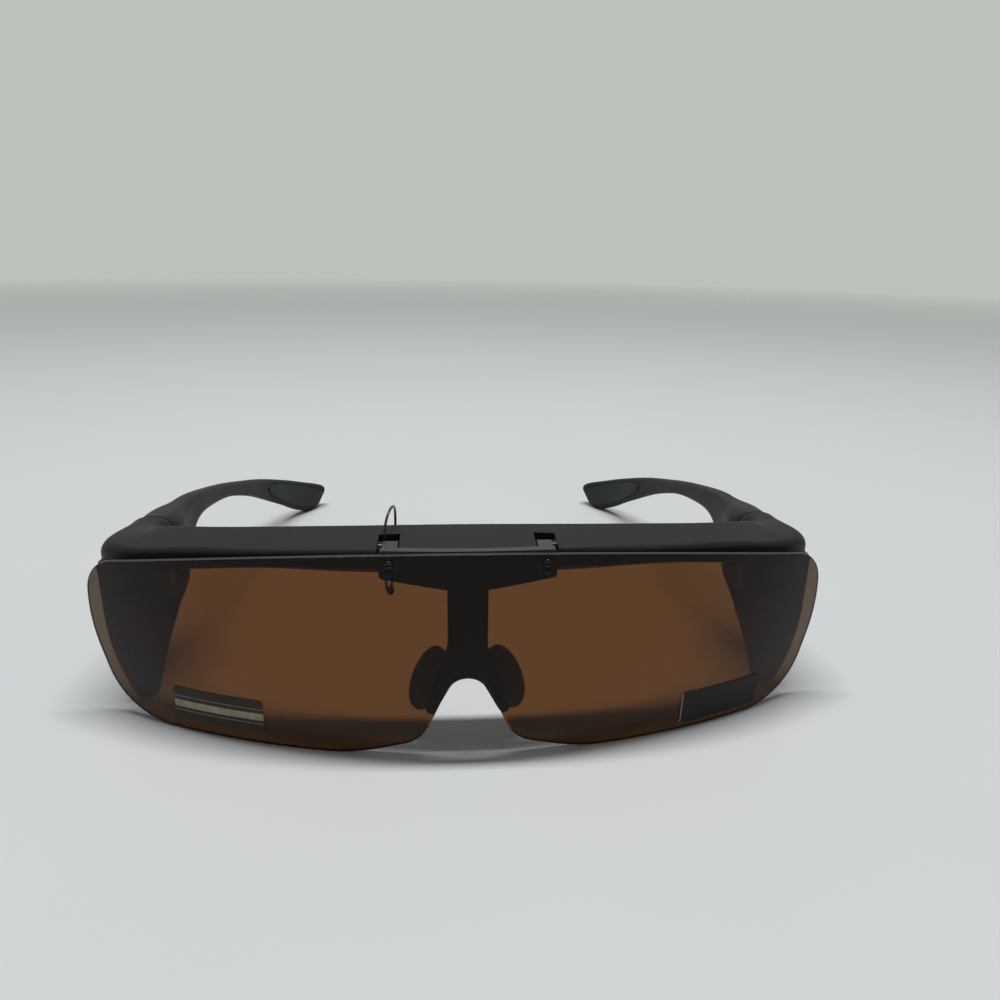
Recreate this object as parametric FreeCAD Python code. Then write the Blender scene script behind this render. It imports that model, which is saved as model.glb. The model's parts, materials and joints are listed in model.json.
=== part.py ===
"""Flip-up fit-over sunglasses: a half-rim frame, a shield lens on a flip hinge, two folding temples.

While modelling, y runs back from the foremost point of the lens, x to the right and z up from the
floor that the lens and the temple tips stand on. On export everything shifts so that the origin lies
on the floor under the middle of the object. Right-hand pieces are modelled and mirrored to the left.
"""
import FreeCAD, Part
import math
import os
from collections import namedtuple

V = FreeCAD.Vector
UP = V(0, 0, 1)
BACK = V(0, 1, 0)
RIGHT = V(1, 0, 0)

# Lens
lens_width = 150.4
lens_height = 42.0
lens_thickness = 1.2
wrap_radius = 150.0
crown_radius = 260.0
lens_top_radius = 320.0
lens_top_corner_radius = 10.0
lens_side_radius = 40.0
lens_bottom_corner_radius = 14.0
lens_edge_radius = 0.35
lens_shoulder_inset = 0.6
lens_side_bulge = 0.7
lens_bottom_inset = 5.2
nose_foot_radius = 7.0
nose_arch_radius = 5.0
nose_arch_height = 17.5
nose_arch_half_width = 2.8
nose_foot_half_width = 8.9
nose_foot_height = 3.6
lens_lobe_half_spacing = 22.2

# Front frame: the brow bar, its end blocks, the side wings and the bridge
brow_gap = 1.6
brow_depth = 12.0
brow_edge_thickness = 2.6
brow_height = 8.0
brow_corner_inset = 9.2
brow_top_radius = 1.2
brow_low_radius = 0.9
end_piece_length = 17.9
end_piece_inset = 1.4
end_block_width = 10.3
end_block_height = 18.9
joint_drop = 5.8
joint_outer_radius = 5.5
joint_inner_radius = 3.5
joint_low_radius = 1.2
wing_thickness = 2.6
wing_rear_thickness = 7.2
wing_clearance = 3.2
wing_foot = 0.6
wing_curve_radius = 44.0
wing_straight_from = 20.0
wing_rear_drop = 25.8
wing_top_drop = 4.4
wing_foot_length = 2.4
wing_corner_radius = 0.5
bridge_width = 7.6
bridge_depth = 3.6
bridge_top_drop = 2.0
bridge_flare_radius = 12.0
bridge_foot_radius = 0.9
bridge_crown_radius = 4.0
bridge_leg_width = 2.2
bridge_crown_drop = 2.9
bridge_flare_rise = 3.0
bridge_foot_rise = 3.6
bridge_foot_inset = 2.6
bridge_crown_inset = 0.4
bridge_edge_radius = 0.7

# Flip hinge
slot_half_spacing = 14.5
slot_depth = 6.2
flip_axis_setback = 5.2
flip_axis_drop = 1.3
knuckle_width = 2.7
knuckle_radius = 1.4
knuckle_side_gap = 0.25
flip_pin_diameter = 1.0
flip_pin_bite = 1.9
running_fit = 0.04
washer_diameter = 2.6
washer_thickness = 0.8
washer_gap = 0.125
bracket_thickness = 1.6
bracket_side_gap = 0.5
bracket_end_height = 5.2
bracket_middle_height = 7.2
bracket_edge_radius = 0.8
bracket_middle_radius = 3.0
bracket_rise = 0.1
bracket_crown_radius = 400.0
bracket_clearance = 0.6
screw_drop = 1.6
screw_head_diameter = 1.7
screw_head_height = 0.5
screw_head_rounding = 0.35
screw_slot_width = 0.35
screw_shank_diameter = 1.2
screw_length = 4.6
peg_drop = 3.5
peg_diameter = 1.3
peg_proud = 0.2
hole_clearance = 0.1

# Temples
temple_gap = 0.3
temple_length = 112.0
temple_tip_top = 7.1
tip_end_rounding = 1.2
tip_side_share = 0.4
tip_pad_depth = 0.9
tip_pad_proud = 0.3
tip_pad_margin = 1.3
tip_pad_front_margin = 2.4
tip_pad_slope = 0.3
tip_pad_corner_radius = 0.2
arm_edge_radius = 1.4
arm_low_radius = 0.8
arm_curl = 0.35

# Temple hinges
hinge_axis_inset = 0.9
hinge_barrel_radius = 1.4
hinge_drop = 13.2
hinge_segment = 2.1
hinge_segment_gap = 0.1
hinge_screw_diameter = 1.2
hinge_screw_fit = 0.02
hinge_head_diameter = 2.4
hinge_head_height = 0.8
hinge_screw_recess = 0.2
hinge_notch_clearance = 0.25
hinge_notch_end_clearance = 0.4
leaf_thickness = 1.0
leaf_proud = 0.6
leaf_length = 5.4
leaf_barrel_gap = 0.25
rivet_diameter = 1.0
rivet_length = 2.2
rivet_proud = 0.15

# Nose pads
pad_half_width = 4.3
pad_half_length = 7.1
pad_thickness = 2.2
pad_edge_radius = 0.9
pad_inset = 1.35
pad_setback = 5.4
pad_rise = 8.5
pad_splay_degrees = 13.0
pad_turn_degrees = 40.0

# Lens labels
label_thickness = 0.15
label_corner_radius = 0.5
left_label_middle = V(-48.6, 0, 6.6)
left_label_width = 18.6
left_label_height = 7.4
right_label_middle = V(52.4, 0, 5.4)
right_label_width = 18.4
right_label_height = 7.2

# Tag loop: a thin nylon strand threaded through the left slot and round the brow
loop_diameter = 0.5
loop_clasp_diameter = 1.4
loop_points = [
    V(-14.8, 13.0, 29.4), V(-15.1, 10.9, 30.0), V(-15.4, 9.8, 33.0), V(-15.4, 9.7, 38.2),
    V(-15.4, 9.9, 43.2), V(-14.9, 11.0, 45.7), V(-14.2, 13.4, 46.7), V(-13.8, 16.2, 45.9),
    V(-13.8, 18.1, 43.0), V(-14.0, 18.5, 38.0), V(-14.3, 18.0, 32.9), V(-14.6, 16.5, 30.1),
    V(-14.8, 14.4, 29.4),
]

# Sizes that follow from the ones above
half_lens = lens_width / 2
slot_width = knuckle_side_gap + knuckle_width + washer_thickness + 2 * washer_gap
bracket_half_width = slot_half_spacing + slot_width / 2 - bracket_side_gap
lens_end_y = wrap_radius - math.sqrt(wrap_radius ** 2 - half_lens ** 2)
crown_level = lens_height / 2
joint_y = lens_end_y + end_piece_length
joint_top = lens_height - joint_drop
block_outer_x = half_lens - end_piece_inset
block_inner_x = block_outer_x - end_block_width
block_bottom = joint_top - end_block_height
wing_rear_bottom = joint_top - wing_rear_drop
hinge_x = block_inner_x - hinge_axis_inset
hinge_y = joint_y + temple_gap / 2
hinge_bottom = joint_top - hinge_drop
hinge_top = hinge_bottom + 3 * hinge_segment + 2 * hinge_segment_gap

# How far cutting outlines reach in front of and behind the lens
cut_front = -5.0
cut_back = 60.0

# A section of the brow bar: plan points, corner heights and corner radii
BrowSection = namedtuple("BrowSection", "outer inner outer_top inner_top low edge "
                                        "outer_radius inner_radius low_radius")

# A section of a temple, at a share of its length: inset of the outer face, inward turn in degrees,
# thickness, share of the fall to the tip, height, height and thickness of the lower wall, curl of its
# outer face, radii of the top corners, and how far the top leans on towards the tip per height
Station = namedtuple("Station", "share inset turn thickness fall height skirt wall curl "
                                "outer_radius inner_radius lean")


def lens_sag(x):
    """How far back the front of the lens lies at half width x."""
    return wrap_radius - math.sqrt(wrap_radius ** 2 - x ** 2)


def lens_top(x):
    """Height of the top edge of the lens at half width x."""
    return lens_height - x ** 2 / (2 * lens_top_radius)


def crown_sag(z):
    """How far back the front of the lens lies at height z, from its vertical curve."""
    return crown_radius - math.sqrt(crown_radius ** 2 - (z - crown_level) ** 2)


top_back_y = crown_sag(lens_height) + lens_thickness
brow_front_y = top_back_y + brow_gap
relief_y = top_back_y + bracket_thickness + bracket_clearance
flip_axis_y = top_back_y + flip_axis_setback
flip_axis_z = lens_height - flip_axis_drop


def rounded_wire(corners, place):
    """A closed wire through (a, b, radius) corners, each rounded by a tangent arc.

    Two arcs that would meet on a side shrink together until the side holds both.
    """
    count = len(corners)
    points = [V(a, b, 0) for a, b, radius in corners]
    runs = [(points[(i + 1) % count] - points[i]).Length for i in range(count)]
    halves = [(points[i - 1] - points[i]).getAngle(points[(i + 1) % count] - points[i]) / 2
              for i in range(count)]
    reaches = [corner[2] / math.tan(half) for corner, half in zip(corners, halves)]
    arcs = []
    usable = 0.98
    for i, here in enumerate(points):
        following = (i + 1) % count
        before_share = usable * runs[i - 1] / (reaches[i - 1] + reaches[i])
        after_share = usable * runs[i] / (reaches[i] + reaches[following])
        reach = reaches[i] * min(1.0, before_share, after_share)
        radius = reach * math.tan(halves[i])
        before = (points[i - 1] - here).normalize()
        after = (points[following] - here).normalize()
        crest = here + (before + after).normalize() * (radius / math.sin(halves[i]) - radius)
        arcs.append((here + before * reach, crest, here + after * reach))
    edges = []
    for i, (start, crest, end) in enumerate(arcs):
        edges.append(Part.Arc(place(start), place(crest), place(end)).toShape())
        edges.append(Part.LineSegment(place(end), place(arcs[(i + 1) % count][0])).toShape())
    return Part.Wire(edges)


def front_prism(corners, y_from, y_to):
    """A front-view outline, given as (x, z, radius) corners, as a solid from y_from to y_to."""
    wire = rounded_wire(corners, lambda p: V(p.x, y_from, p.y))
    return Part.Face(wire).extrude(BACK * (y_to - y_from))


def side_prism(corners, x_from, x_to):
    """A side-view outline, given as (y, z, radius) corners, as a solid from x_from to x_to."""
    wire = rounded_wire(corners, lambda p: V(x_from, p.x, p.y))
    return Part.Face(wire).extrude(RIGHT * (x_to - x_from))


def mirrored(shape):
    return shape.mirror(V(0, 0, 0), RIGHT)


def both_sides(corners):
    """A symmetric outline from the corners of its right half, listed downwards from the middle."""
    left = [(-a, b, r) for a, b, r in reversed(corners) if a > 0]
    return corners + left


def lens_layer(depth, thickness):
    """A layer of the wrapped and crowned lens surface, starting depth behind its front."""
    spread = math.degrees(math.asin((half_lens + 2 * lens_side_bulge) / wrap_radius)) + 2.0
    low, high = -lens_height / 4, lens_height * 1.25

    def arc(offset):
        radius = crown_radius - offset
        ends = [V(0, crown_radius - math.sqrt(radius ** 2 - (z - crown_level) ** 2), z) for z in (low, high)]
        return ends[0], Part.Arc(ends[0], V(0, offset, crown_level), ends[1]).toShape(), ends[1]

    front_low, front, front_high = arc(depth)
    back_low, back, back_high = arc(depth + thickness)
    top = Part.LineSegment(front_high, back_high).toShape()
    bottom = Part.LineSegment(back_low, front_low).toShape()
    face = Part.Face(Part.Wire([front, top, back, bottom]))
    axis_point = V(0, wrap_radius, 0)
    face.rotate(axis_point, UP, -spread)
    return face.revolve(axis_point, UP, 2 * spread)


def lens_outline():
    slope = (half_lens - lens_top_corner_radius - 1) / lens_top_radius
    peak = lens_height + lens_top_radius * (math.sqrt(1 + slope ** 2) - 1)
    shoulder = half_lens - lens_shoulder_inset
    return both_sides([
        (0, peak, lens_top_radius),
        (shoulder, peak - slope * shoulder, lens_top_corner_radius),
        (half_lens + lens_side_bulge, crown_level, lens_side_radius),
        (half_lens - lens_bottom_inset, 0, lens_bottom_corner_radius),
        (lens_lobe_half_spacing, 0, lens_side_radius),
        (nose_foot_half_width, nose_foot_height, nose_foot_radius),
        (nose_arch_half_width, nose_arch_height, nose_arch_radius),
    ])


def across_lens(x, z, diameter, y_from, y_to):
    return Part.makeCylinder(diameter / 2, y_to - y_from, V(x, y_from, z), BACK)


def knuckle_x(side):
    """Low and high x of the bracket's knuckle in the right (1) or left (-1) slot."""
    inner = slot_half_spacing - slot_width / 2 + knuckle_side_gap
    ends = sorted((side * inner, side * (inner + knuckle_width)))
    return ends[0], ends[1]


def knuckle_middle(side):
    return sum(knuckle_x(side)) / 2


def make_lens():
    lens = lens_layer(0, lens_thickness).common(front_prism(lens_outline(), cut_front, cut_back)).Solids[0]
    front_and_back = sorted(lens.Faces, key=lambda face: face.Area)[-2:]
    lens = lens.makeFillet(lens_edge_radius, [edge for face in front_and_back for edge in face.Edges])
    for side in (1, -1):
        x = knuckle_middle(side)
        for drop, diameter in ((screw_drop, screw_shank_diameter), (peg_drop, peg_diameter)):
            hole = diameter + 2 * hole_clearance
            lens = lens.cut(across_lens(x, lens_top(x) - drop, hole, cut_front, flip_axis_y))
    return lens


def bracket_outline():
    top = lens_height + bracket_rise
    return both_sides([
        (0, top + bracket_rise / 2, bracket_crown_radius),
        (bracket_half_width, top, bracket_edge_radius),
        (bracket_half_width, top - bracket_end_height, bracket_edge_radius),
        (bridge_width / 2, top - bracket_middle_height, bracket_middle_radius),
    ])


def make_bracket():
    plate = lens_layer(lens_thickness, bracket_thickness)
    bracket = plate.common(front_prism(bracket_outline(), cut_front, cut_back))
    for side in (1, -1):
        x = knuckle_middle(side)
        low = knuckle_x(side)[0]
        plate_middle_y = lens_sag(x) + top_back_y + bracket_thickness / 2
        arm = Part.makeBox(knuckle_width, flip_axis_y - plate_middle_y, 2 * knuckle_radius,
                           V(low, plate_middle_y, flip_axis_z - knuckle_radius))
        barrel = Part.makeCylinder(knuckle_radius, knuckle_width, V(low, flip_axis_y, flip_axis_z), RIGHT)
        peg_z = lens_top(x) - peg_drop
        peg_front_y = lens_sag(x) + crown_sag(peg_z) - peg_proud
        peg = across_lens(x, peg_z, peg_diameter, peg_front_y, plate_middle_y)
        bracket = bracket.fuse([arm, barrel, peg])
    bracket = bracket.removeSplitter()
    bore = flip_pin_diameter / 2 + running_fit
    for side in (1, -1):
        start = V(knuckle_x(side)[0], flip_axis_y, flip_axis_z)
        bracket = bracket.cut([Part.makeCylinder(bore, knuckle_width, start, RIGHT), screw_shank(side)])
    return bracket


def screw_seat_y(x):
    """Front of the lens under a lens screw."""
    return lens_sag(x) + crown_sag(lens_top(x) - screw_drop)


def screw_shank(side):
    x = knuckle_middle(side)
    seat = screw_seat_y(x)
    return across_lens(x, lens_top(x) - screw_drop, screw_shank_diameter, seat, seat + screw_length)


def make_lens_screws():
    screws = []
    for side in (1, -1):
        x = knuckle_middle(side)
        z = lens_top(x) - screw_drop
        seat = screw_seat_y(x)
        front = seat - screw_head_height
        head = across_lens(x, z, screw_head_diameter, front, seat + screw_head_height)
        rim = [edge for edge in head.Edges if edge.isClosed() and edge.CenterOfMass.y < seat]
        head = head.makeFillet(screw_head_rounding, rim).cut(lens_layer(0, 2 * lens_thickness))
        core = across_lens(x, z, screw_shank_diameter, front, seat)
        driver = Part.makeBox(screw_head_diameter, screw_head_height, screw_slot_width,
                              V(x - screw_head_diameter / 2, front - screw_head_height / 2,
                                z - screw_slot_width / 2))
        screws.append(head.fuse([core, screw_shank(side)]).removeSplitter().cut(driver).Solids[0])
    return Part.makeCompound(screws)


def flip_pin_ends():
    inner = slot_half_spacing - slot_width / 2 - flip_pin_bite
    return inner, inner + slot_width + 2 * flip_pin_bite


def make_flip_pin():
    start, end = flip_pin_ends()
    return Part.makeCylinder(flip_pin_diameter / 2, end - start, V(start, flip_axis_y, flip_axis_z), RIGHT)


def make_flip_washer():
    start = V(knuckle_x(1)[1] + washer_gap, flip_axis_y, flip_axis_z)
    ring = Part.makeCylinder(washer_diameter / 2, washer_thickness, start, RIGHT)
    bore = flip_pin_diameter / 2 + running_fit / 2
    return ring.cut(Part.makeCylinder(bore, washer_thickness, start, RIGHT))


def brow_arc_y(x):
    """Front edge of the brow bar, running round just behind the lens."""
    radius = wrap_radius - brow_front_y
    return wrap_radius - math.sqrt(radius ** 2 - x ** 2)


def brow_sections():
    """Sections of the brow bar from the middle to the right-hand joint."""
    sections = []
    for share, shallower, rise, inner_rise, sink in (
        (0.0, 0.0, 0.1, 0.7, 2.4),
        (0.33, 0.8, 0.2, 1.1, 2.3),
        (0.64, 2.2, 0.5, 2.1, 1.3),
        (0.85, 2.9, 1.0, 2.9, 1.8),
        (1.0, 2.4, 1.1, 3.1, 3.2),
    ):
        x = share * (half_lens - brow_corner_inset)
        outer = V(x, brow_arc_y(x), 0)
        inward = (V(0, wrap_radius, 0) - outer).normalize()
        top = lens_top(x)
        low = top + inner_rise - brow_height - sink
        edge = top + rise - brow_edge_thickness - sink / 2
        sections.append(BrowSection(outer, outer + inward * (brow_depth - shallower), top + rise,
                                    top + inner_rise, low, edge, brow_top_radius, brow_top_radius,
                                    brow_low_radius))
    for inset, along, inner_inset, inner_along, drop, inner_drop, low_rise, edge_rise, radius in (
        (2.9, 2.8, 1.4, 9.8, 6.0, 4.6, 6.8, 8.4, 2.6),
        (1.0, 7.3, 0.3, 12.6, 6.1, 5.1, 2.8, 3.4, 3.8),
        (1.2, 12.6, 0.0, 15.4, 6.0, 5.6, 0.6, 0.8, 5.0),
        (end_piece_inset, end_piece_length, 0, end_piece_length, joint_drop, joint_drop, 0, 0,
         joint_outer_radius),
    ):
        outer = V(half_lens - inset, lens_end_y + along, 0)
        inner = V(block_inner_x - inner_inset, lens_end_y + inner_along, 0)
        sections.append(BrowSection(outer, inner, lens_height - drop, lens_height - inner_drop,
                                    block_bottom + low_rise, block_bottom + edge_rise, radius,
                                    min(radius, joint_inner_radius), joint_low_radius))
    return sections


def brow_wire(section, side):
    outer = V(side * section.outer.x, section.outer.y, 0)
    inner = V(side * section.inner.x, section.inner.y, 0)
    depth = outer.distanceToPoint(inner)
    inward = (inner - outer).normalize()
    corners = [
        (0, section.outer_top, section.outer_radius),
        (depth, section.inner_top, section.inner_radius),
        (depth, section.low, section.low_radius),
        (0, section.edge, section.low_radius),
    ]
    return rounded_wire(corners, lambda p: outer + inward * p.x + UP * p.y)


def make_brow_bar():
    sections = brow_sections()
    wires = [brow_wire(s, -1) for s in reversed(sections[1:])] + [brow_wire(s, 1) for s in sections]
    return Part.makeLoft(wires, True, False)


def wing_x(z, inset):
    """Outer x of the side wing at height z, moved in by inset: upright above, curling in below."""
    below = max(0.0, wing_straight_from - z)
    return block_outer_x - inset - wing_curve_radius + math.sqrt(wing_curve_radius ** 2 - below ** 2)


def wing_wire(y, thickness):
    """The side wing's section at y: an arc below and a straight wall above, on both faces."""
    top = joint_top - wing_top_drop
    edges = []
    points = []
    for inset in (0.0, thickness):
        levels = (0.0, wing_straight_from / 2, wing_straight_from, top)
        low, middle, bend, high = (V(wing_x(z, inset), y, z) for z in levels)
        edges.append([Part.Arc(low, middle, bend).toShape(), Part.LineSegment(bend, high).toShape()])
        points.append((low, high))
    across_top = Part.LineSegment(points[0][1], points[1][1]).toShape()
    across_foot = Part.LineSegment(points[1][0], points[0][0]).toShape()
    return Part.Wire(edges[0] + [across_top] + edges[1][::-1] + [across_foot])


def make_wing():
    """The wall below the end block, thicker towards the joint, with its foot rising to the rear."""
    front = lens_end_y + wing_clearance
    ends = [wing_wire(front, wing_thickness), wing_wire(joint_y, wing_rear_thickness)]
    wall = Part.makeLoft(ends, True, True)
    foot_end = front + wing_foot_length
    slope = (wing_rear_bottom - wing_foot) / (joint_y - foot_end)
    beyond = 5.0
    profile = side_prism([
        (front, joint_top, wing_corner_radius),
        (joint_y + beyond, joint_top, wing_corner_radius),
        (joint_y + beyond, wing_rear_bottom + slope * beyond, wing_corner_radius),
        (foot_end, wing_foot, wing_foot_length),
        (front, wing_foot, wing_foot_length / 2),
    ], block_inner_x, block_outer_x + beyond)
    return wall.common(profile)


def make_bridge():
    half = bridge_width / 2
    top = lens_height - bridge_top_drop
    foot = nose_foot_height + bridge_foot_rise
    foot_inner = nose_foot_half_width - bridge_foot_inset
    crown = nose_arch_height - bridge_crown_drop
    outline = both_sides([
        (half, top, 0.1),
        (half, nose_arch_height + bridge_flare_rise, bridge_flare_radius),
        (foot_inner + bridge_leg_width, foot, bridge_foot_radius),
        (foot_inner, foot, bridge_foot_radius),
        (nose_arch_half_width - bridge_crown_inset, crown, bridge_crown_radius),
    ])
    block = front_prism(outline, relief_y, relief_y + bridge_depth)
    rims = [e for e in block.Edges if abs(e.tangentAt(e.FirstParameter).y) < 0.1 and
            e.BoundBox.ZMax < top - bridge_edge_radius]
    return block.makeFillet(bridge_edge_radius, rims)


def hinge_slots():
    """Cuts in the brow: a slot per knuckle and the relief that the bracket's plate sits in."""
    half = slot_half_spacing + slot_width / 2
    slot_end = brow_arc_y(half) + slot_depth
    bottom = lens_height / 2
    cuts = [Part.makeBox(slot_width, slot_end, lens_height, V(x - slot_width / 2, 0, bottom))
            for x in (slot_half_spacing, -slot_half_spacing)]
    radius = wrap_radius - relief_y
    side_y = wrap_radius - math.sqrt(radius ** 2 - half ** 2)
    arc = Part.Arc(V(-half, side_y, bottom), V(0, relief_y, bottom), V(half, side_y, bottom)).toShape()
    rest = Part.makePolygon([V(half, side_y, bottom), V(half, cut_front, bottom),
                             V(-half, cut_front, bottom), V(-half, side_y, bottom)])
    cuts.append(Part.Face(Part.Wire([arc] + rest.Edges)).extrude(UP * lens_height))
    return cuts


def hinge_barrel(start, end, radius):
    return Part.makeCylinder(radius, end - start, V(hinge_x, hinge_y, start), UP)


def barrel_levels():
    """Low and high z of the lower, middle and upper barrel segments."""
    step = hinge_segment + hinge_segment_gap
    return [(hinge_bottom + i * step, hinge_bottom + i * step + hinge_segment) for i in range(3)]


def leaf_plate(direction):
    """A hinge leaf's plate, forward (-1) or backward (1) of the joint, set into the inner face."""
    near = hinge_barrel_radius + leaf_barrel_gap
    start = hinge_y + direction * near
    end = start + direction * leaf_length
    x = block_inner_x - leaf_proud
    return Part.makeBox(leaf_thickness, leaf_length, hinge_top - hinge_bottom,
                        V(x, min(start, end), hinge_bottom))


def leaf_blank(direction):
    """The front leaf (-1) carries the outer barrels and the temple leaf (1) the middle one."""
    levels = barrel_levels()
    mine = [levels[0], levels[2]] if direction < 0 else [levels[1]]
    leaf = leaf_plate(direction)
    x = block_inner_x - leaf_proud
    reach = hinge_barrel_radius + 2 * leaf_barrel_gap
    for low, high in mine:
        web_y = hinge_y - reach if direction < 0 else hinge_y
        web = Part.makeBox(leaf_thickness, reach, high - low, V(x, web_y, low))
        leaf = leaf.fuse([web, hinge_barrel(low, high, hinge_barrel_radius)])
    return leaf.removeSplitter()


def make_hinge_leaf(direction):
    bore = hinge_barrel(hinge_bottom, hinge_top, hinge_screw_diameter / 2 + hinge_screw_fit)
    return leaf_blank(direction).cut(bore).cut(Part.makeCompound(leaf_rivets(direction)))


def leaf_rivets(direction):
    """Two rivets that hold a leaf to the plastic behind it."""
    near = hinge_barrel_radius + leaf_barrel_gap
    y = hinge_y + direction * (near + leaf_length / 2)
    middle = (hinge_bottom + hinge_top) / 2
    start = block_inner_x - leaf_proud - rivet_proud
    return [Part.makeCylinder(rivet_diameter / 2, rivet_length, V(start, y, middle + step), RIGHT)
            for step in (-hinge_segment, hinge_segment)]


def make_hinge_screw():
    shank = hinge_barrel(hinge_bottom + hinge_screw_recess, hinge_top, hinge_screw_diameter / 2)
    head = hinge_barrel(hinge_top, hinge_top + hinge_head_height, hinge_head_diameter / 2)
    driver = Part.makeBox(hinge_head_diameter, screw_slot_width, hinge_head_height / 2,
                          V(hinge_x - hinge_head_diameter / 2, hinge_y - screw_slot_width / 2,
                            hinge_top + hinge_head_height / 2))
    return shank.fuse(head).removeSplitter().cut(driver)


def hinge_notch():
    """Room for the barrels and the screw in both sides of the joint."""
    low = hinge_bottom - hinge_notch_end_clearance
    high = hinge_top + hinge_head_height + hinge_notch_end_clearance
    return hinge_barrel(low, high, hinge_barrel_radius + hinge_notch_clearance)


def hinge_cuts(direction):
    return [hinge_notch(), leaf_blank(direction)] + leaf_rivets(direction)


def make_front_frame():
    wing = make_wing()
    frame = make_brow_bar().fuse([wing, mirrored(wing), make_bridge()]).removeSplitter()
    cuts = hinge_slots()
    pin = make_flip_pin()
    cuts += [pin, mirrored(pin)]
    for cut in hinge_cuts(-1):
        cuts += [cut, mirrored(cut)]
    return frame.cut(cuts)


def temple_stations():
    """Stations along the right temple, from the joint to the tip."""
    edge = arm_edge_radius
    joint_curl = block_outer_x - wing_x(wing_rear_bottom, 0)
    joint = Station(0.0, 0.0, 0, end_block_width, 0.0, wing_rear_drop, block_bottom - wing_rear_bottom,
                    wing_rear_thickness, joint_curl, joint_outer_radius, joint_inner_radius, 0)
    return [joint] + [Station(*row) for row in (
        (0.068, 0.3, 1, end_block_width - 0.3, 0.041, 20.3, 5.6, 6.6, arm_curl, 4.6, 3.2, 0),
        (0.125, 1.2, 4, 7.6, 0.079, 16.4, 4.6, 5.4, arm_curl, 3.0, 2.2, 0),
        (0.183, 2.3, 5, 5.7, 0.110, 10.9, 3.0, 4.4, arm_curl, 2.0, 1.6, 0),
        (0.241, 3.1, 5, 4.7, 0.132, 6.8, 1.8, 3.6, arm_curl, edge, edge, 0),
        (0.321, 3.9, 4, 3.95, 0.186, 5.1, 1.2, 3.1, arm_curl, edge, edge, 0),
        (0.446, 4.75, 4, 3.5, 0.292, 4.2, 1.0, 2.7, arm_curl, edge, edge, 0),
        (0.571, 5.8, 6, 3.4, 0.416, 4.6, 1.0, 2.7, arm_curl, edge, edge, 0),
        (0.679, 7.4, 9.5, 3.4, 0.526, 5.9, 1.1, 2.7, arm_curl, edge, edge, 0),
        (0.744, 8.9, 14.5, 3.4, 0.598, 7.2, 1.1, 2.7, arm_curl, edge, edge, 0),
        (0.821, 11.6, 20, 3.5, 0.698, 8.6, 1.1, 2.8, arm_curl, edge, edge, 0.05),
        (0.893, 14.8, 26, 3.5, 0.804, 9.9, 1.1, 2.8, arm_curl, edge, edge, 0.15),
        (0.946, 18.3, 32, 3.6, 0.904, 9.25, 1.1, 2.9, arm_curl, edge, edge, 0.45),
        (0.989, 21.6, 36, 3.5, 1.0, 6.85, 1.1, 2.8, arm_curl, edge, edge, 0.8),
    )]


def station_heights(station):
    top = joint_top - station.fall * (joint_top - temple_tip_top)
    return top, max(top - station.height, 0.0)


def station_wire(station, corners, ahead):
    """A wire through (outward, height, radius) corners at a station, moved on by ahead."""
    outer = V(block_outer_x - station.inset, joint_y + temple_gap + station.share * temple_length, 0)
    angle = math.radians(station.turn)
    outward = V(math.cos(angle), math.sin(angle), 0)
    onward = V(-math.sin(angle), math.cos(angle), 0)
    middle = sum(station_heights(station)) / 2

    def place(p):
        return outer + outward * p.x + UP * p.y + onward * (ahead + station.lean * (p.y - middle))

    return rounded_wire(corners, place)


def temple_wire(station, shrink):
    """The section at a station, drawn in by shrink and moved on along the temple by as much."""
    top, bottom = station_heights(station)
    side = shrink * tip_side_share
    corners = [
        (-side, top - shrink, station.outer_radius),
        (-station.thickness + side, top - shrink, station.inner_radius),
        (-station.thickness + side, bottom + station.skirt + shrink, joint_low_radius),
        (-station.curl - station.wall, bottom + shrink, arm_low_radius),
        (-station.curl - side, bottom + shrink, arm_low_radius),
    ]
    return station_wire(station, corners, shrink)


def make_temple_blank():
    stations = temple_stations()
    wires = [temple_wire(station, 0.0) for station in stations]
    wires.append(temple_wire(stations[-1], tip_end_rounding))
    return Part.makeLoft(wires, True, False)


def make_tip_pad():
    """The rubber inset on the inner face of the temple tip, narrower at its front end."""
    wires = []
    margin = tip_pad_front_margin
    for station in temple_stations()[-5:]:
        top, bottom = station_heights(station)
        sunk = tip_pad_depth - station.thickness
        proud = -tip_pad_proud - station.thickness
        corners = [
            (sunk, top - margin, tip_pad_corner_radius),
            (sunk, bottom + margin, tip_pad_corner_radius),
            (proud, bottom + margin + tip_pad_slope, tip_pad_corner_radius),
            (proud, top - margin - tip_pad_slope, tip_pad_corner_radius),
        ]
        wires.append(station_wire(station, corners, 0.0))
        margin = tip_pad_margin
    return Part.makeLoft(wires, True, False)


def make_temple(pad):
    return make_temple_blank().cut(hinge_cuts(1) + [pad])


def make_nose_pad(frame):
    """A soft pad on the right leg of the bridge, cut to sit on the leg."""
    ellipse = Part.Ellipse(V(0, 0, 0), pad_half_length, pad_half_width).toShape()
    disc = Part.Face(Part.Wire(ellipse)).extrude(UP * pad_thickness)
    disc = disc.makeFillet(pad_edge_radius, [e for e in disc.Edges if e.Length > pad_half_length])
    disc.translate(UP * (-pad_thickness / 2))
    disc.rotate(V(0, 0, 0), BACK, 90)
    disc.rotate(V(0, 0, 0), UP, -90 - pad_turn_degrees)
    disc.rotate(V(0, 0, 0), BACK, -pad_splay_degrees)
    disc.translate(V(nose_foot_half_width - pad_inset, relief_y + pad_setback, nose_foot_height + pad_rise))
    return disc.cut(frame)


def make_label(middle, width, height):
    outline = [(middle.x + sx * width / 2, middle.z + sz * height / 2, label_corner_radius)
               for sx, sz in ((-1, -1), (1, -1), (1, 1), (-1, 1))]
    return lens_layer(-label_thickness, label_thickness).common(front_prism(outline, cut_front, cut_back))


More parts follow.
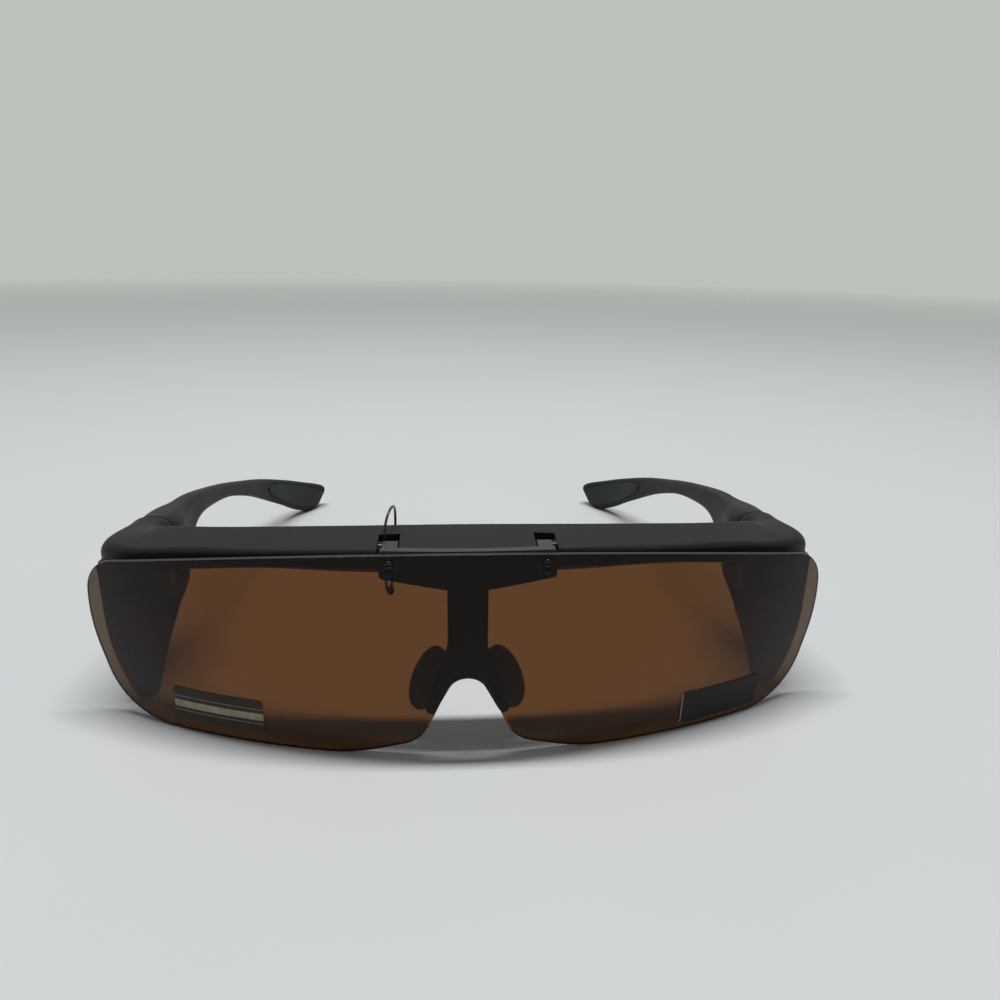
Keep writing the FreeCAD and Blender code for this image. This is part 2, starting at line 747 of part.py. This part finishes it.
def loop_path(points):
    """Straight runs joined by tangent arcs, each as large as its runs allow."""
    edges = []
    radii = []
    bend_share = 0.45
    start = points[0]
    for before, here, after in zip(points, points[1:], points[2:]):
        back = before - here
        on = after - here
        half_turn = (math.pi - back.getAngle(on)) / 2
        reach = bend_share * min(back.Length, on.Length)
        radius = reach / math.tan(half_turn)
        radii.append(radius)
        back.normalize()
        on.normalize()
        to_centre = (back + on).normalize()
        crest = here + to_centre * (radius / math.cos(half_turn) - radius)
        edges.append(Part.LineSegment(start, here + back * reach).toShape())
        edges.append(Part.Arc(here + back * reach, crest, here + on * reach).toShape())
        start = here + on * reach
    edges.append(Part.LineSegment(start, points[-1]).toShape())
    return Part.Wire(edges), radii


def make_tag_loop():
    path, radii = loop_path(loop_points)
    direction = loop_points[1] - loop_points[0]
    circle = Part.Circle(loop_points[0], direction, loop_diameter / 2).toShape()
    tube = path.makePipeShell([Part.Wire(circle)], True, False)
    expected = path.Length * math.pi * loop_diameter ** 2 / 4
    print("tag loop length %.1f, tightest radius %.2f, volume %.2f of %.2f"
          % (path.Length, min(radii), tube.Volume, expected))
    return tube.cut(make_loop_clasp())


def make_loop_clasp():
    start, end = loop_points[0], loop_points[-1]
    return Part.makeCylinder(loop_clasp_diameter / 2, start.distanceToPoint(end), start, end - start)


def farthest_back(shape):
    return max(point.y for point in shape.tessellate(0.02)[0])


def build():
    frame = make_front_frame()
    pad = make_tip_pad()
    temple = make_temple(pad)
    nose_pad = make_nose_pad(frame)
    rivets = {direction: Part.makeCompound(leaf_rivets(direction)) for direction in (-1, 1)}
    right_hand = {
        "flip_pin": make_flip_pin(),
        "flip_washer": make_flip_washer(),
        "nose_pad": nose_pad,
        "temple": temple,
        "tip_pad": pad,
        "front_hinge_leaf": make_hinge_leaf(-1),
        "temple_hinge_leaf": make_hinge_leaf(1),
        "front_leaf_rivets": rivets[-1],
        "temple_leaf_rivets": rivets[1],
        "hinge_screw": make_hinge_screw(),
    }
    parts = {
        "front_frame": frame,
        "shield_lens": make_lens(),
        "hinge_bracket": make_bracket(),
        "lens_screws": make_lens_screws(),
        "left_lens_label": make_label(left_label_middle, left_label_width, left_label_height),
        "right_lens_label": make_label(right_label_middle, right_label_width, right_label_height),
        "tag_loop": make_tag_loop(),
        "loop_clasp": make_loop_clasp(),
    }
    for name, shape in right_hand.items():
        parts["right_" + name] = shape
        parts["left_" + name] = mirrored(shape)
    shift = BACK * (-farthest_back(temple) / 2)
    os.makedirs("parts", exist_ok=True)
    for name, shape in parts.items():
        moved = shape.copy()
        moved.translate(shift)
        moved.exportStep("parts/%s.step" % name)
        box = moved.optimalBoundingBox(False, False)
        print("%-24s %d solids, valid %s, volume %9.2f, x %.2f..%.2f y %.2f..%.2f z %.2f..%.2f" % (
            name, len(moved.Solids), moved.isValid(), moved.Volume,
            box.XMin, box.XMax, box.YMin, box.YMax, box.ZMin, box.ZMax))
    print("shift %.4f, flip axis y %.4f z %.4f, hinge axis x %.4f y %.4f"
          % (shift.y, flip_axis_y + shift.y, flip_axis_z, hinge_x, hinge_y + shift.y))


build()
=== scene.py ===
"""Flip-up fit-over sunglasses: finishes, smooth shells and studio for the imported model."""
import json
import math

import bmesh
import bpy
from mathutils import Matrix, Vector


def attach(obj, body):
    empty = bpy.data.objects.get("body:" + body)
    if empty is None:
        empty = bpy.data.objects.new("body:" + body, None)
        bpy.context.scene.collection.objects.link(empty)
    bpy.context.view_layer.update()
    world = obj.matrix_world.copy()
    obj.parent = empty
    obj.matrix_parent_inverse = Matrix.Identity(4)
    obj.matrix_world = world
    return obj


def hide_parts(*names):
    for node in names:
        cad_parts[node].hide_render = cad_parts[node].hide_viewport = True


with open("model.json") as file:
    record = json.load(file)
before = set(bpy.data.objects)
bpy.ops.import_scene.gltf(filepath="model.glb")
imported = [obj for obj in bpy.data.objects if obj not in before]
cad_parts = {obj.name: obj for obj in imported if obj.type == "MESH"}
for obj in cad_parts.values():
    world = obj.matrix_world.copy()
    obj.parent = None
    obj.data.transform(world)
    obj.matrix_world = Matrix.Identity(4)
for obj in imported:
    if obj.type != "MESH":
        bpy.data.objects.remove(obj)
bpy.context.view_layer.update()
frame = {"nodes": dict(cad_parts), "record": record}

MM = 0.001
scene = bpy.context.scene

# Camera, fitted to the photograph: frame and focal length in pixels, angles in degrees, the rest in millimetres
FRAME_PIXELS = 1000
FOCAL_PIXELS = 769.02
PITCH = 18.804
YAW = 4.424
ROLL = 1.084
CAMERA_PLACE = (-4.38, -199.69, 94.89)
SENSOR_WIDTH = 36.0
NEAR_CLIP = 10.0

# Shift along Y from the drawing's origin, at the front of the lens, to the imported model's, in millimetres
SHIFT = -75.5260

# Nylon loop: its strand, as control points in millimetres from the drawing's origin
LOOP_DIAMETER = 0.5
LOOP_STEPS = 10
LOOP_ROUNDNESS = 4
LOOP_POINTS = [
    (-14.8, 13.0, 29.4), (-15.1, 10.9, 30.0), (-15.4, 9.8, 33.0), (-15.4, 9.7, 38.2),
    (-15.4, 9.9, 43.2), (-14.9, 11.0, 45.7), (-14.2, 13.4, 46.7), (-13.8, 16.2, 45.9),
    (-13.8, 18.1, 43.0), (-14.0, 18.5, 38.0), (-14.3, 18.0, 32.9), (-14.6, 16.5, 30.1),
    (-14.8, 14.4, 29.4),
]

# Shells, in millimetres: merging distance, sharpest smooth edge, the lens's axis and rim, and the pegs' front
MERGE_DISTANCE = 0.0005
SMOOTH_ANGLE = math.radians(32)
LENS_AXIS = 150.0 + SHIFT
RIM_FACING = 0.8
PEG_FRONT = 1.426 + SHIFT

# Hair gaps, in millimetres along Y, that keep the faces seated on the clear lens apart from it
SEAT_GAPS = {"hinge_bracket": 0.02, "left_lens_label": -0.02, "right_lens_label": -0.02}

# Painted reflection haze on the lens: how far from the middle, in millimetres, the tint turns to a paler haze
# towards the ends
PAINTED_HAZE_FROM, PAINTED_HAZE_TO = 67.0, 73.0

# Labels, in millimetres: heights of the pale band and of its rules, the right label's pale edge, and soft borders
BAND_HEIGHTS = (5.7, 7.3)
RULE_HEIGHTS = (4.9, 8.2)
RULE_HALF_WIDTH = 0.09
EDGE_PLACE = (43.25, 43.6)
RULE_SOFTNESS = 0.03
BAND_SOFTNESS = 0.05

# Colours: the dark and light ends that a finish varies between, or one colour
FRAME_PLASTIC = (0.0125, 0.0128, 0.0108), (0.016, 0.0163, 0.0138)
FRAME_SCUFF = (0.021, 0.0213, 0.0185)
LENS_TINT = (0.165, 0.066, 0.02), (0.155, 0.062, 0.018)
# Painted reflection haze that the lens tint turns to towards its ends
LENS_END_PAINTED_HAZE = (0.115, 0.078, 0.052)
LENS_RIM = (0.039, 0.036, 0.031), (0.052, 0.048, 0.042)
BRACKET_PLASTIC = (0.028, 0.028, 0.027), (0.039, 0.039, 0.037)
# Peg ends: the bracket's plastic, made darker and less shiny
PEG_PLASTIC = (0.007, 0.007, 0.0065), (0.011, 0.011, 0.01)
STEEL = (0.018, 0.018, 0.018), (0.034, 0.034, 0.033)
NOSE_RUBBER = (0.28, 0.265, 0.235), (0.36, 0.34, 0.3)
TIP_RUBBER = (0.012, 0.0163, 0.0178), (0.0152, 0.0203, 0.0218)
# Left label film: its own brown tint plus painted shade for the shaded view through the lens behind it
LEFT_FILM_AND_PAINTED_SHADE = (0.025, 0.018, 0.012), (0.037, 0.027, 0.019)
LEFT_FILM_RULE = (0.2, 0.165, 0.12)
LEFT_FILM_BAND = (0.26, 0.22, 0.16), (0.36, 0.31, 0.235)
RIGHT_FILM = (0.008, 0.0078, 0.0076), (0.0125, 0.012, 0.0118)
RIGHT_FILM_EDGE = (0.22, 0.19, 0.15)
NYLON = (0.014, 0.014, 0.015), (0.03, 0.03, 0.032)
FLOOR_CARD = (0.725, 0.745, 0.76), (0.735, 0.755, 0.77)
BACKDROP = (0.503, 0.535, 0.495)
FILL_LIGHT = (0.138, 0.141, 0.142)

# Studio, in metres and watts: the floor's half size, where it fades out, and the lamp
FLOOR_SIZE = 2.0
FLOOR_FADE = (0.45, 1.7)
LAMP_PLACE = (0, 0.02, 1.2)
LAMP_TARGET = (0, -0.06, 0)
LAMP_SIZE = (0.9, 0.08)
LAMP_WATTS = 11.5

# The range that most of a noise lies in
NOISE_RANGE = (0.3, 0.7)

# Sockets of a Mix node for colours: factor and the two colours, and the result
MIX_INPUTS = (0, 6, 7)
MIX_RESULT = 2


# Materials
class Finish:
    """A material whose Principled shader is fed by textures on Object coordinates."""

    def __init__(self, name, **inputs):
        self.material = bpy.data.materials.new(name)
        self.material.use_nodes = True
        self.tree = self.material.node_tree
        self.shader = self.tree.nodes["Principled BSDF"]
        self.coords = self.tree.nodes.new("ShaderNodeTexCoord").outputs["Object"]
        self.feed_all(self.shader, inputs)

    def feed(self, socket, value):
        if isinstance(value, bpy.types.NodeSocket):
            self.tree.links.new(value, socket)
        else:
            socket.default_value = value

    def feed_all(self, node, inputs):
        for socket, value in inputs.items():
            self.feed(node.inputs[socket.replace("_", " ")], value)

    def node(self, kind, **inputs):
        made = self.tree.nodes.new(kind)
        self.feed_all(made, inputs)
        return made

    def noise(self, size, detail, stretch=(1, 1, 1)):
        """Noise with features of about the given size in millimetres."""
        mapping = self.node("ShaderNodeMapping", Vector=self.coords, Scale=stretch)
        made = self.node("ShaderNodeTexNoise", Vector=mapping.outputs[0], Scale=1 / (size * MM),
                         Detail=detail)
        return made.outputs["Fac"]

    def axis(self, name):
        """One Object coordinate, in metres."""
        return self.node("ShaderNodeSeparateXYZ", Vector=self.coords).outputs[name]

    def ranged(self, value, low, high, new_low=0, new_high=1):
        made = self.node("ShaderNodeMapRange", Value=value, From_Min=low, From_Max=high,
                         To_Min=new_low, To_Max=new_high)
        return made.outputs["Result"]

    def spread(self, noise, low=0, high=1):
        """A noise, spread over the range from low to high."""
        return self.ranged(noise, *NOISE_RANGE, low, high)

    def within(self, value, low, high, soft):
        """One between two millimetre values and zero outside, with soft edges."""
        up = self.ranged(value, (low - soft) * MM, (low + soft) * MM)
        down = self.ranged(value, (high - soft) * MM, (high + soft) * MM, 1, 0)
        return self.maths("MULTIPLY", up, down)

    def maths(self, operation, *values):
        made = self.tree.nodes.new("ShaderNodeMath")
        made.operation = operation
        for socket, value in zip(made.inputs, values):
            self.feed(socket, value)
        return made.outputs[0]

    def mixed(self, factor, first, second):
        made = self.tree.nodes.new("ShaderNodeMix")
        made.data_type = "RGBA"
        for socket, value in zip(MIX_INPUTS, (factor, first, second)):
            self.feed(made.inputs[socket], (*value, 1) if isinstance(value, tuple) else value)
        return made.outputs[MIX_RESULT]

    def colour(self, value):
        self.feed(self.shader.inputs["Base Color"], value)

    def roughness(self, value):
        self.feed(self.shader.inputs["Roughness"], value)

    def bump(self, height, depth):
        """Relief of the given depth in millimetres."""
        made = self.node("ShaderNodeBump", Height=height, Distance=depth * MM, Strength=1.0)
        self.feed(self.shader.inputs["Normal"], made.outputs[0])


def frame_finish():
    """Matte moulded plastic with a fine grain and a few paler scuffs."""
    finish = Finish("matte_frame_plastic", Specular_IOR_Level=0.2)
    grain = finish.noise(size=0.28, detail=2.0)
    cloud = finish.noise(size=14.0, detail=4.0)
    scratches = finish.noise(size=0.9, detail=6.0, stretch=(1, 0.3, 0.6))
    moulded = finish.mixed(finish.spread(cloud), *FRAME_PLASTIC)
    finish.colour(finish.mixed(finish.ranged(scratches, 0.62, 0.78), moulded, FRAME_SCUFF))
    broad, fine = finish.spread(cloud, 0.48, 0.6), finish.spread(grain, -0.05, 0.05)
    finish.roughness(finish.maths("ADD", broad, fine))
    finish.bump(grain, depth=0.012)
    return finish.material


def lens_finish():
    """Brown tint, with a painted reflection haze towards the ends of the lens."""
    finish = Finish("brown_lens", Transmission_Weight=1.0, IOR=1.26)
    smear = finish.noise(size=9.0, detail=5.0, stretch=(1, 1, 0.5))
    outward = finish.maths("ABSOLUTE", finish.axis("X"))
    # Painted reflection haze: mixed into the tint by distance from the middle
    painted_haze = finish.ranged(outward, PAINTED_HAZE_FROM * MM, PAINTED_HAZE_TO * MM)
    tint = finish.mixed(finish.spread(smear), *LENS_TINT)
    finish.colour(finish.mixed(painted_haze, tint, LENS_END_PAINTED_HAZE))
    finish.roughness(finish.ranged(smear, 0.45, 0.75, 0.0, 0.02))
    return finish.material


def rim_finish():
    """The cut and polished edge of the lens."""
    finish = Finish("lens_rim_polish", Specular_IOR_Level=0.15)
    cloud = finish.noise(size=2.0, detail=4.0)
    finish.colour(finish.mixed(finish.spread(cloud), *LENS_RIM))
    finish.roughness(finish.spread(cloud, 0.34, 0.48))
    return finish.material


def bracket_finish(name, colours, shine):
    """Satin plastic with a fine grain."""
    finish = Finish(name, Specular_IOR_Level=shine)
    grain = finish.noise(size=0.5, detail=3.0)
    finish.colour(finish.mixed(grain, *colours))
    finish.roughness(finish.spread(grain, 0.28, 0.42))
    finish.bump(grain, depth=0.006)
    return finish.material


def steel_finish():
    """Dark steel with a brushed grain."""
    finish = Finish("dark_steel", Metallic=1.0)
    brushed = finish.noise(size=0.3, detail=3.0, stretch=(1, 1, 0.1))
    finish.colour(finish.mixed(brushed, *STEEL))
    finish.roughness(finish.spread(brushed, 0.14, 0.26))
    finish.bump(brushed, depth=0.004)
    return finish.material


def rubber_finish(name, colours, shine):
    """Soft rubber with a fine grain and cloudy colour."""
    finish = Finish(name, Specular_IOR_Level=shine)
    grain = finish.noise(size=0.35, detail=3.0)
    cloud = finish.noise(size=6.0, detail=3.0)
    finish.colour(finish.mixed(finish.spread(cloud), *colours))
    finish.roughness(finish.spread(grain, 0.52, 0.68))
    finish.bump(grain, depth=0.015)
    return finish.material


def banded_film():
    """The left label: a dark film with a pale band and two thin rules, its base partly its own brown tint and
    partly painted shade, the shaded view through the lens behind it.
    """
    finish = Finish("banded_label_film", Specular_IOR_Level=0.15)
    height = finish.axis("Z")
    cloud = finish.noise(size=1.5, detail=4.0)
    # Film base: its own tint plus painted shade of the view behind the lens
    film = finish.mixed(finish.spread(cloud), *LEFT_FILM_AND_PAINTED_SHADE)
    for rule in RULE_HEIGHTS:
        line = finish.within(height, rule - RULE_HALF_WIDTH, rule + RULE_HALF_WIDTH, RULE_SOFTNESS)
        film = finish.mixed(line, film, LEFT_FILM_RULE)
    band = finish.within(height, *BAND_HEIGHTS, BAND_SOFTNESS)
    worn = finish.mixed(finish.ranged(cloud, 0.35, 0.65), *LEFT_FILM_BAND)
    finish.colour(finish.mixed(band, film, worn))
    finish.roughness(finish.spread(cloud, 0.28, 0.45))
    return finish.material


def edged_film():
    """The right label: a dark film with a thin pale edge."""
    finish = Finish("edged_label_film", Specular_IOR_Level=0.15)
    cloud = finish.noise(size=2.5, detail=4.0)
    film = finish.mixed(finish.spread(cloud), *RIGHT_FILM)
    edge = finish.within(finish.axis("X"), *EDGE_PLACE, BAND_SOFTNESS)
    finish.colour(finish.mixed(edge, film, RIGHT_FILM_EDGE))
    finish.roughness(finish.spread(cloud, 0.24, 0.4))
    return finish.material


def nylon_finish():
    """The loop's dark, slightly glossy strand."""
    finish = Finish("dark_nylon")
    grain = finish.noise(size=0.4, detail=3.0)
    finish.colour(finish.mixed(grain, *NYLON))
    finish.roughness(finish.spread(grain, 0.22, 0.4))
    return finish.material


matte_frame = frame_finish()
brown_lens = lens_finish()
lens_rim = rim_finish()
satin_bracket = bracket_finish("satin_bracket_plastic", BRACKET_PLASTIC, shine=0.5)
# Peg ends: a darker, less shiny copy of the bracket's plastic
peg_ends = bracket_finish("darker_duller_peg_ends", PEG_PLASTIC, shine=0.15)
dark_steel = steel_finish()
nose_rubber = rubber_finish("nose_pad_rubber", NOSE_RUBBER, shine=0.5)
tip_rubber = rubber_finish("tip_pad_rubber", TIP_RUBBER, shine=0.38)
left_film = banded_film()
right_film = edged_film()
dark_nylon = nylon_finish()


# Objects
def add_object(name, data):
    made = bpy.data.objects.new(name, data)
    scene.collection.objects.link(made)
    return made


def add_mesh(name, bm):
    mesh = bpy.data.meshes.new(name)
    bm.to_mesh(mesh)
    bm.free()
    return add_object(name, mesh)


# Smooth shells over the CAD nodes
def body_of(node):
    bodies = frame["record"]["behaviour"]["bodies"]
    return next(body for body, nodes in bodies.items() if node in nodes)


def settle(piece, node, material):
    """Give a finished piece its material and its body, and hide the node it stands for."""
    piece.data.materials.clear()
    piece.data.materials.append(material)
    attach(piece, body_of(node))
    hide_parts(node)
    return piece


def smooth_shell(node, material):
    """A merged copy of a node's mesh, shaded smooth but for its sharp edges."""
    bm = bmesh.new()
    bm.from_mesh(frame["nodes"][node].data)
    bmesh.ops.remove_doubles(bm, verts=bm.verts, dist=MERGE_DISTANCE * MM)
    bmesh.ops.translate(bm, verts=bm.verts, vec=(0, SEAT_GAPS.get(node, 0) * MM, 0))
    for face in bm.faces:
        face.smooth = True
    for edge in bm.edges:
        edge.smooth = len(edge.link_faces) == 2 and edge.calc_face_angle(0) < SMOOTH_ANGLE
    piece = add_mesh(node + "_shell", bm)
    weighted = piece.modifiers.new("even_shading", "WEIGHTED_NORMAL")
    weighted.keep_sharp = True
    return settle(piece, node, material)


def polish_rim(lens):
    """Give the lens's rim, which faces neither forwards nor back, a polish of its own."""
    lens.data.materials.append(lens_rim)
    for face in lens.data.polygons:
        outward = Vector((face.center.x, face.center.y - LENS_AXIS * MM, 0)).normalized()
        face.material_index = int(abs(face.normal.dot(outward)) < RIM_FACING)


def dull_pegs(bracket):
    """Give the ends of the bracket's pegs, which stand in front of the lens, a dull finish."""
    bracket.data.materials.append(peg_ends)
    for face in bracket.data.polygons:
        face.material_index = int(face.center.y < PEG_FRONT * MM)


FINISHES = {
    "front_frame": matte_frame, "shield_lens": brown_lens, "hinge_bracket": satin_bracket,
    "lens_screws": dark_steel, "left_lens_label": left_film, "right_lens_label": right_film,
    "loop_clasp": dark_nylon,
}
for side in ("left", "right"):
    FINISHES[side + "_nose_pad"] = nose_rubber
    FINISHES[side + "_temple"] = matte_frame
    FINISHES[side + "_tip_pad"] = tip_rubber
    for name in ("flip_pin", "flip_washer", "front_hinge_leaf", "temple_hinge_leaf", "front_leaf_rivets",
                 "temple_leaf_rivets", "hinge_screw"):
        FINISHES[side + "_" + name] = dark_steel
shells = {node: smooth_shell(node, material) for node, material in FINISHES.items()}
polish_rim(shells["shield_lens"])
dull_pegs(shells["hinge_bracket"])


# Nylon loop
def packed(point):
    """A point of the drawing, in millimetres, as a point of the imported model, in metres."""
    x, y, z = point
    return (x * MM, (y + SHIFT) * MM, z * MM)


def nylon_loop():
    curve = bpy.data.curves.new("tag_loop_strand", "CURVE")
    curve.dimensions = "3D"
    spline = curve.splines.new("NURBS")
    spline.points.add(len(LOOP_POINTS) - 1)
    for control, point in zip(spline.points, LOOP_POINTS):
        control.co = (*packed(point), 1)
    spline.order_u = 3
    spline.use_endpoint_u = True
    spline.resolution_u = LOOP_STEPS
    curve.bevel_depth = LOOP_DIAMETER / 2 * MM
    curve.bevel_resolution = LOOP_ROUNDNESS
    piece = settle(add_object("tag_loop_strand", curve), "tag_loop", dark_nylon)


nylon_loop()


# Studio
def make_camera():
    data = bpy.data.cameras.new("photo_camera")
    data.sensor_width = SENSOR_WIDTH
    data.lens = SENSOR_WIDTH * FOCAL_PIXELS / FRAME_PIXELS
    data.clip_start = NEAR_CLIP * MM
    pitch, yaw, roll = (math.radians(angle) for angle in (PITCH, YAW, ROLL))
    level = Vector((math.sin(yaw), math.cos(yaw), 0))
    right = Vector((math.cos(yaw), -math.sin(yaw), 0))
    forward = level * math.cos(pitch) - Vector((0, 0, math.sin(pitch)))
    up = level * math.sin(pitch) + Vector((0, 0, math.cos(pitch)))
    across = right * math.cos(roll) + up * math.sin(roll)
    upward = up * math.cos(roll) - right * math.sin(roll)
    turn = Matrix((across, upward, -forward)).transposed().to_4x4()
    camera = add_object("photo_camera", data)
    camera.matrix_world = Matrix.Translation(Vector(CAMERA_PLACE) * MM) @ turn
    scene.camera = camera


def make_floor():
    """A pale floor that fades into the backdrop, so that no horizon shows."""
    bm = bmesh.new()
    bmesh.ops.create_grid(bm, x_segments=1, y_segments=1, size=FLOOR_SIZE)
    floor = add_mesh("studio_floor", bm)
    finish = Finish("floor_card", Roughness=0.6)
    cloud = finish.noise(size=60.0, detail=2.0)
    finish.colour(finish.mixed(finish.spread(cloud), *FLOOR_CARD))
    reach = finish.node("ShaderNodeVectorMath", Vector=finish.coords)
    reach.operation = "LENGTH"
    fade = finish.node("ShaderNodeMixShader")
    clear = finish.node("ShaderNodeBsdfTransparent")
    faded = finish.ranged(reach.outputs["Value"], *FLOOR_FADE)
    for socket, value in zip(fade.inputs, (faded, finish.shader.outputs[0], clear.outputs[0])):
        finish.feed(socket, value)
    finish.feed(finish.tree.nodes["Material Output"].inputs["Surface"], fade.outputs[0])
    floor.data.materials.append(finish.material)


def make_world():
    """The backdrop for rays that show it, and a dimmer fill for the rest."""
    world = bpy.data.worlds.new("studio_world")
    world.use_nodes = True
    tree = world.node_tree
    path = tree.nodes.new("ShaderNodeLightPath")
    shown = path.outputs["Is Camera Ray"]
    for ray in ("Is Glossy Ray", "Is Transmission Ray"):
        either = tree.nodes.new("ShaderNodeMath")
        either.operation = "MAXIMUM"
        tree.links.new(shown, either.inputs[0])
        tree.links.new(path.outputs[ray], either.inputs[1])
        shown = either.outputs[0]
    pick = tree.nodes.new("ShaderNodeMix")
    pick.data_type = "RGBA"
    factor, unseen, seen = (pick.inputs[socket] for socket in MIX_INPUTS)
    tree.links.new(shown, factor)
    unseen.default_value = (*FILL_LIGHT, 1)
    seen.default_value = (*BACKDROP, 1)
    tree.links.new(pick.outputs[MIX_RESULT], tree.nodes["Background"].inputs["Color"])
    scene.world = world


def make_lamp():
    """One long strip of light overhead."""
    data = bpy.data.lights.new("top_strip", "AREA")
    data.shape = "RECTANGLE"
    data.size, data.size_y = LAMP_SIZE
    data.energy = LAMP_WATTS
    lamp = add_object("top_strip", data)
    lamp.location = LAMP_PLACE
    aim = Vector(LAMP_TARGET) - Vector(LAMP_PLACE)
    lamp.rotation_euler = aim.to_track_quat("-Z", "Y").to_euler()


make_camera()
make_floor()
make_world()
make_lamp()
scene.view_settings.view_transform = "Standard"
